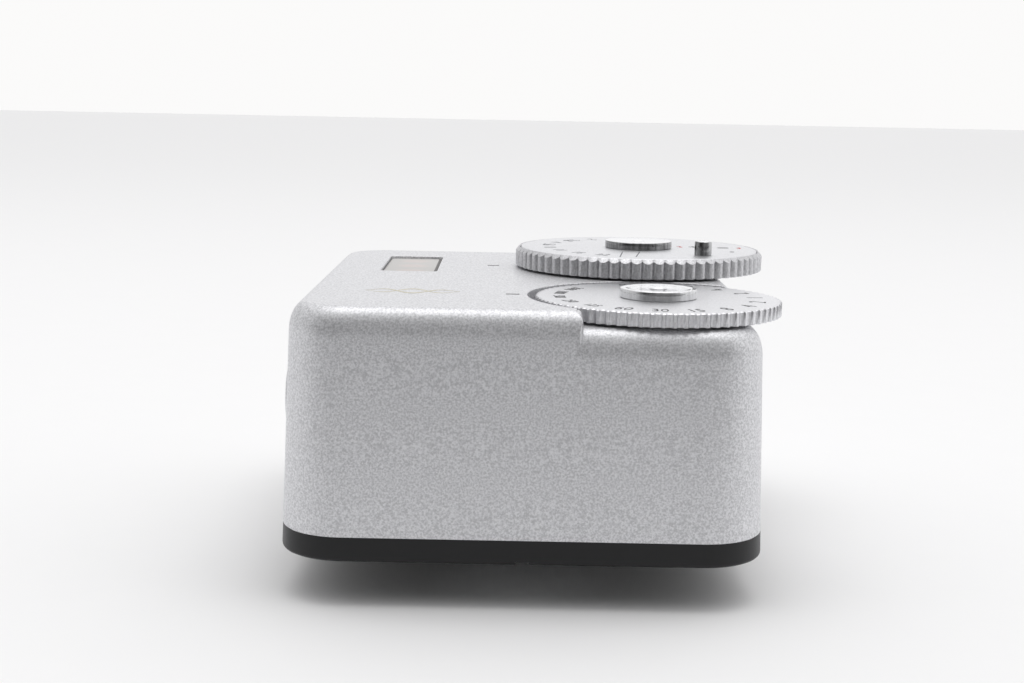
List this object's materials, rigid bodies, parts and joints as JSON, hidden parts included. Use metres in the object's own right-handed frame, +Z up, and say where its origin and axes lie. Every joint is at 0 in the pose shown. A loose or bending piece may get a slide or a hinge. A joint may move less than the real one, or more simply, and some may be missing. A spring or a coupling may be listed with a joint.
{
  "type": "two-dial accessory-shoe exposure meter",
  "caption": "Small metal light meter for a camera's accessory shoe, with a stepped top carrying an aperture dial with a film speed plate, a shutter dial and a lamp window.",
  "frame": {"origin": "centre of the underside of the shoe foot", "axes": "+Z up through the dials, +Y along the meter's long side from the shutter dial to the aperture dial, +X towards the subject"},
  "size_m": [0.0418, 0.0474, 0.0265],
  "materials": {
    "silver_paint": "satin silver paint with a fine metallic grain",
    "satin_alloy": "fine bead-blasted and anodised, turned rims",
    "chrome": "polished",
    "steel": "machined and plated",
    "brass": "machined",
    "black_plastic": "satin moulded",
    "black_fibre": "matt fibre",
    "black_paint": "filled engraving",
    "diffuser": "smoky translucent",
    "glass": "polished",
    "board_green": "solder mask",
    "chip_black": "moulded package",
    "lamp_epoxy": "cast epoxy"
  },
  "bodies": {
    "housing": {"top_housing": "silver_paint", "aperture_index_mark": "black_paint", "shutter_index_mark": "black_paint", "base_plate": "black_plastic", "base_screw_1": "steel", "base_screw_2": "steel", "base_screw_3": "steel", "base_screw_4": "steel", "shoe_foot": "steel", "shoe_neck": "steel", "foot_screw_1": "steel", "foot_screw_2": "steel", "foot_screw_3": "steel", "foot_screw_4": "steel", "battery_holder": "black_plastic", "lower_cell": "steel", "upper_cell": "steel", "battery_contact": "brass", "circuit_board": "board_green", "board_screw_1": "steel", "board_screw_2": "steel", "processor_chip": "chip_black", "lamp_1": "lamp_epoxy", "lamp_2": "lamp_epoxy", "lamp_3": "lamp_epoxy", "lamp_mask": "black_plastic", "lamp_window": "diffuser", "sensor_bezel": "black_plastic", "sensor_lens": "glass", "photodiode": "chip_black", "sensor_board": "board_green", "tact_switch": "black_plastic", "button_spring": "steel", "aperture_bush": "brass", "aperture_washer": "black_fibre", "aperture_stop_post": "steel", "aperture_detent_ball": "steel", "aperture_detent_spring": "steel", "shutter_bush": "brass", "shutter_washer": "black_fibre", "shutter_stop_post": "steel", "shutter_detent_ball": "steel", "shutter_detent_spring": "steel"},
    "aperture_dial": {"aperture_ring": "satin_alloy", "aperture_cap": "chrome", "aperture_shaft": "steel", "aperture_clip": "steel", "aperture_wiper": "brass"},
    "film_speed_dial": {"film_speed_plate": "satin_alloy", "film_speed_pin": "chrome"},
    "shutter_dial": {"shutter_disc": "satin_alloy", "shutter_cap": "chrome", "shutter_shaft": "steel", "shutter_clip": "steel", "shutter_wiper": "brass"},
    "battery_door": {"battery_cover": "steel"},
    "measuring_key": {"measuring_button": "satin_alloy", "switch_plunger": "black_plastic"}
  },
  "joints": [
    {"name": "aperture_turn", "type": "hinge", "parent": "housing", "child": "aperture_dial", "pos_m": [0.0108, 0.00898, 0.0235], "axis": [0, 0, 1], "range_deg": [-155, 155]},
    {"name": "film_speed_turn", "type": "hinge", "parent": "aperture_dial", "child": "film_speed_dial", "pos_m": [0.0108, 0.00898, 0.0245], "axis": [0, 0, 1], "range_deg": [-60, 60]},
    {"name": "shutter_turn", "type": "hinge", "parent": "housing", "child": "shutter_dial", "pos_m": [0.0108, -0.01278, 0.0221], "axis": [0, 0, 1], "range_deg": [-155, 155]},
    {"name": "battery_door_turn", "type": "hinge", "parent": "housing", "child": "battery_door", "pos_m": [0, -0.0155, 0.0036], "axis": [0, 0, -1], "range_deg": [0, 60]},
    {"name": "measuring_press", "type": "slide", "parent": "housing", "child": "measuring_key", "axis": [1, 0, 0], "range_m": [0, 0.0006], "stiffness_N_per_m": 400, "springref_m": -0.0008, "deforming": ["button_spring"]}
  ]
}
